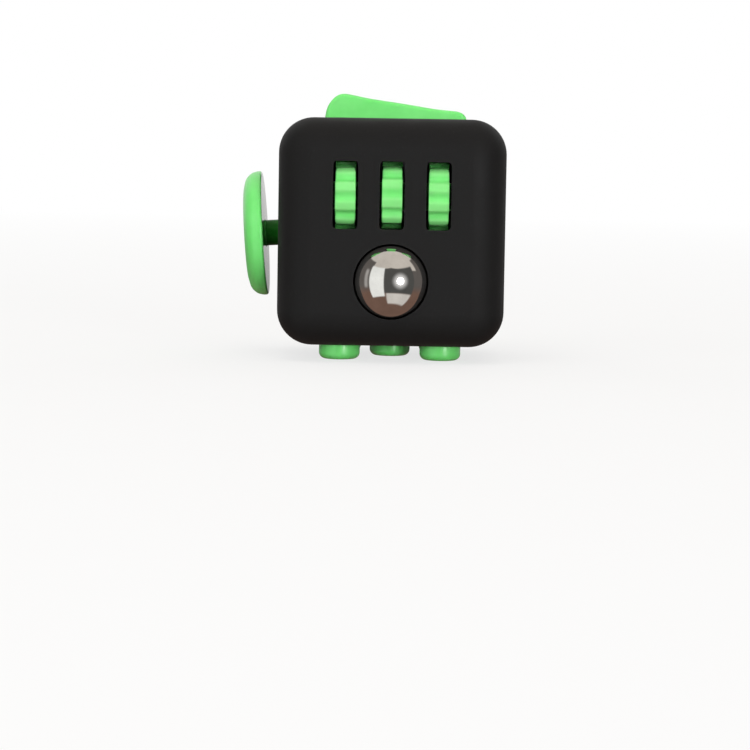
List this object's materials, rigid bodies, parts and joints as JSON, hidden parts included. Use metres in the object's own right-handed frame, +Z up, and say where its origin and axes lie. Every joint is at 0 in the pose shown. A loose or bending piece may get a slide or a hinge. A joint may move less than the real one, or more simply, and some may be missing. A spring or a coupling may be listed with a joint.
{
  "type": "fidget cube",
  "caption": "Rounded hand-held cube with a control on each face: thumb gears and a rolling ball, a rocker, push buttons, a joystick disc, a spinning dial and a thumb dish.",
  "frame": {"origin": "centre of the flat tip of the centre button, in the plane the cube stands on", "axes": "+Z up through the rocker face, -Y out of the face with the gears and ball, -X out of the joystick face"},
  "size_m": [0.0387, 0.0366, 0.0389],
  "materials": {
    "black_plastic": "soft-touch black moulding with a fine grain",
    "green_plastic": "bright green satin moulding",
    "polished_steel": "polished steel",
    "pin_steel": "ground steel",
    "spring_steel": "drawn spring wire and pressed dome sheet",
    "screw_steel": "plated thread-forming screws",
    "grey_plastic": "natural grey structural moulding",
    "white_plastic": "slippery white acetal",
    "silicone": "translucent silicone pad"
  },
  "bodies": {
    "casing": {"body_shell": "black_plastic", "rear_cover": "black_plastic", "gear_axle": "pin_steel", "gear_axle_keeper": "grey_plastic", "keeper_screw_left": "screw_steel", "keeper_screw_right": "screw_steel", "ball_spring": "spring_steel", "ball_bracket": "grey_plastic", "bracket_screw_left": "screw_steel", "bracket_screw_right": "screw_steel", "button_spring_front_left": "spring_steel", "button_spring_front_right": "spring_steel", "button_spring_centre": "spring_steel", "button_spring_rear_left": "spring_steel", "button_spring_rear_right": "spring_steel", "button_plate": "grey_plastic", "plate_screw_left": "screw_steel", "plate_screw_right": "screw_steel", "plate_screw_rear": "screw_steel", "click_dome_front_left": "spring_steel", "click_dome_centre": "spring_steel", "click_dome_rear_right": "spring_steel", "quiet_pad_front_right": "silicone", "quiet_pad_rear_left": "silicone", "rocker_pin": "pin_steel", "rocker_cradle": "grey_plastic", "cradle_screw_front": "screw_steel", "cradle_screw_rear": "screw_steel", "gimbal_bracket": "grey_plastic", "gimbal_screw_upper": "screw_steel", "gimbal_screw_lower": "screw_steel"},
    "gear_left": {"gear_left": "green_plastic"},
    "gear_middle": {"gear_middle": "green_plastic"},
    "gear_right": {"gear_right": "green_plastic"},
    "ball_cup": {"ball_cup": "white_plastic"},
    "ball": {"steel_ball": "polished_steel"},
    "rocker": {"rocker": "green_plastic", "rocker_spring": "spring_steel"},
    "rocker_plunger": {"rocker_plunger": "white_plastic"},
    "gimbal_ring": {"gimbal_ring": "white_plastic"},
    "joystick": {"joystick_cap": "green_plastic", "joystick_hub": "white_plastic", "joystick_screw": "screw_steel"},
    "dial": {"spin_dial": "green_plastic", "dial_washer": "pin_steel", "dial_screw": "screw_steel"},
    "button_front_left": {"button_front_left": "green_plastic"},
    "button_front_right": {"button_front_right": "green_plastic"},
    "button_centre": {"button_centre": "green_plastic"},
    "button_rear_left": {"button_rear_left": "green_plastic"},
    "button_rear_right": {"button_rear_right": "green_plastic"}
  },
  "joints": [
    {"name": "gear_left_spin", "type": "hinge", "parent": "casing", "child": "gear_left", "pos_m": [-0.0067, -0.0123, 0.02409], "axis": [1, 0, 0], "continuous": true},
    {"name": "gear_middle_spin", "type": "hinge", "parent": "casing", "child": "gear_middle", "pos_m": [0, -0.0123, 0.02409], "axis": [1, 0, 0], "continuous": true},
    {"name": "gear_right_spin", "type": "hinge", "parent": "casing", "child": "gear_right", "pos_m": [0.0067, -0.0123, 0.02409], "axis": [1, 0, 0], "continuous": true},
    {"name": "ball_press", "type": "slide", "parent": "casing", "child": "ball_cup", "axis": [0, 1, 0], "range_m": [0, 0.001], "stiffness_N_per_m": 500, "springref_m": -0.001, "deforming": ["ball_spring"]},
    {"name": "ball_roll", "type": "hinge", "parent": "ball_cup", "child": "ball", "pos_m": [0, -0.0135, 0.01191], "axis": [1, 0, 0], "continuous": true},
    {"name": "button_front_left_press", "type": "slide", "parent": "casing", "child": "button_front_left", "axis": [0, 0, 1], "range_m": [0, 0.0012], "stiffness_N_per_m": 120, "springref_m": -0.004, "deforming": ["button_spring_front_left"]},
    {"name": "button_front_right_press", "type": "slide", "parent": "casing", "child": "button_front_right", "axis": [0, 0, 1], "range_m": [0, 0.0012], "stiffness_N_per_m": 120, "springref_m": -0.004, "deforming": ["button_spring_front_right"]},
    {"name": "button_centre_press", "type": "slide", "parent": "casing", "child": "button_centre", "axis": [0, 0, 1], "range_m": [0, 0.0012], "stiffness_N_per_m": 120, "springref_m": -0.004, "deforming": ["button_spring_centre"]},
    {"name": "button_rear_left_press", "type": "slide", "parent": "casing", "child": "button_rear_left", "axis": [0, 0, 1], "range_m": [0, 0.0012], "stiffness_N_per_m": 120, "springref_m": -0.004, "deforming": ["button_spring_rear_left"]},
    {"name": "button_rear_right_press", "type": "slide", "parent": "casing", "child": "button_rear_right", "axis": [0, 0, 1], "range_m": [0, 0.0012], "stiffness_N_per_m": 120, "springref_m": -0.004, "deforming": ["button_spring_rear_right"]},
    {"name": "rocker_flip", "type": "hinge", "parent": "casing", "child": "rocker", "pos_m": [0, 0, 0.0318], "axis": [0, -1, 0], "range_deg": [0, 16.4]},
    {"name": "rocker_plunger_slide", "type": "slide", "parent": "rocker", "child": "rocker_plunger", "axis": [-0.1426, 0, -0.9898], "range_m": [-0.0006, 0.0003], "stiffness_N_per_m": 8, "deforming": ["rocker_spring"]},
    {"name": "joystick_swing_side", "type": "hinge", "parent": "casing", "child": "gimbal_ring", "pos_m": [-0.0136, 0, 0.0184], "axis": [0, 0, 1], "range_deg": [-8.5, 8.5], "stiffness_Nm_per_rad": 0.02},
    {"name": "joystick_swing_upright", "type": "hinge", "parent": "gimbal_ring", "child": "joystick", "pos_m": [-0.0136, 0, 0.0184], "axis": [0, 1, 0], "range_deg": [-4.6, 12.4], "stiffness_Nm_per_rad": 0.02},
    {"name": "dial_spin", "type": "hinge", "parent": "casing", "child": "dial", "pos_m": [0, 0.015, 0.0188], "axis": [0, 1, 0], "continuous": true}
  ]
}
